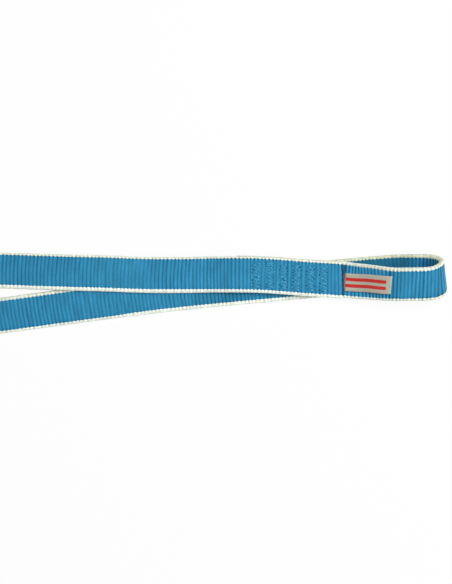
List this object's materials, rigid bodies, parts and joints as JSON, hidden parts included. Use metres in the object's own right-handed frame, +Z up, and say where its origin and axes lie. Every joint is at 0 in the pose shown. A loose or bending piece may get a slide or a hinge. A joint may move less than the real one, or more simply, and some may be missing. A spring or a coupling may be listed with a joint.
{
  "type": "climbing loop sling",
  "caption": "Flat woven climbing sling, its tape sewn into an open loop with bar tacks, pale woven edges and a folded ribbon label, lying at rest.",
  "frame": {"origin": "on the table, under the middle of the lying sling's bounding box", "axes": "+X along the sling towards the bight beside the seam, +Z up from the table, +Y across it to the side of the sewn strand"},
  "size_m": [0.5955, 0.0566, 0.0231],
  "materials": {
    "tape_blue": "woven polyamide, matt",
    "selvedge_cream": "woven polyamide, matt",
    "thread_blue": "bonded sewing thread, slight sheen",
    "label_grey": "satin ribbon"
  },
  "bodies": {
    "sling": {"webbing": "tape_blue", "selvedge_left": "selvedge_cream", "selvedge_right": "selvedge_cream", "bar_tack_1": "thread_blue", "bar_tack_2": "thread_blue", "bar_tack_3": "thread_blue", "bar_tack_4": "thread_blue", "bar_tack_5": "thread_blue", "bar_tack_6": "thread_blue", "label_tail": "label_grey"},
    "label": {"label_flap": "label_grey"}
  },
  "joints": [
    {"name": "label_fold", "type": "hinge", "parent": "sling", "child": "label", "pos_m": [0.24099, 0.01271, 0.00837], "axis": [-0.0735, -0.9963, -0.0446], "range_deg": [0, 75]}
  ]
}
